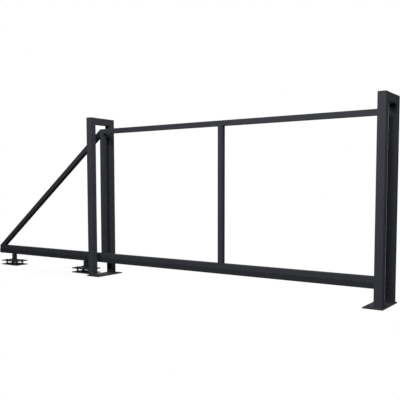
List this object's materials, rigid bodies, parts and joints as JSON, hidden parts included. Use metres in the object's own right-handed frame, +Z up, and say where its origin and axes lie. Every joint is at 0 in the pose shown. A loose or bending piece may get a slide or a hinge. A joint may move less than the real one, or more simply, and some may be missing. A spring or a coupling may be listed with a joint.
{
  "type": "sliding driveway gate",
  "caption": "Self-supporting sliding driveway gate of dark coated steel tube: open leaf frame with braced tail on roller carriages, sliding between post portals.",
  "frame": {"origin": "middle of the underside of the guide portal's base plate, on the ground", "axes": "+X along the gate to the catch portal, +Y to the far side, +Z up"},
  "size_m": [5.926, 0.451, 2.035],
  "materials": {
    "coated_steel": "matt anthracite powder coat",
    "blackened_steel": "black coated fasteners",
    "zinc_plated_steel": "turned and zinc plated",
    "black_plastic": "moulded end plug"
  },
  "bodies": {
    "portals_and_carriages": {"guide_base_plate": "coated_steel", "guide_front_post": "coated_steel", "guide_back_post": "coated_steel", "guide_post_caps": "coated_steel", "guide_crossbar": "coated_steel", "catch_base_plate": "coated_steel", "catch_front_post": "coated_steel", "catch_back_post": "coated_steel", "catch_post_caps": "coated_steel", "catch_crossbar": "coated_steel", "front_carriage_ground_plate": "coated_steel", "front_carriage_upper_plate": "coated_steel", "front_carriage_studs": "blackened_steel", "front_carriage_nuts": "blackened_steel", "front_carriage_stem": "coated_steel", "front_carriage_neck": "coated_steel", "front_carriage_axles": "zinc_plated_steel", "front_carriage_rollers": "zinc_plated_steel", "rear_carriage_ground_plate": "coated_steel", "rear_carriage_upper_plate": "coated_steel", "rear_carriage_studs": "blackened_steel", "rear_carriage_nuts": "blackened_steel", "rear_carriage_stem": "coated_steel", "rear_carriage_neck": "coated_steel", "rear_carriage_axles": "zinc_plated_steel", "rear_carriage_rollers": "zinc_plated_steel"},
    "leaf": {"running_track": "coated_steel", "track_tail_plug": "black_plastic", "leaf_bottom_rail": "coated_steel", "bottom_rail_tail_cap": "coated_steel", "leaf_top_rail": "coated_steel", "leaf_rear_stile": "coated_steel", "leaf_middle_stile": "coated_steel", "leaf_front_stile": "coated_steel", "leaf_front_cap": "coated_steel", "tail_brace": "coated_steel"}
  },
  "joints": [
    {"name": "leaf_slide", "type": "slide", "parent": "portals_and_carriages", "child": "leaf", "axis": [-1, 0, 0], "range_m": [0, 3.7]}
  ]
}
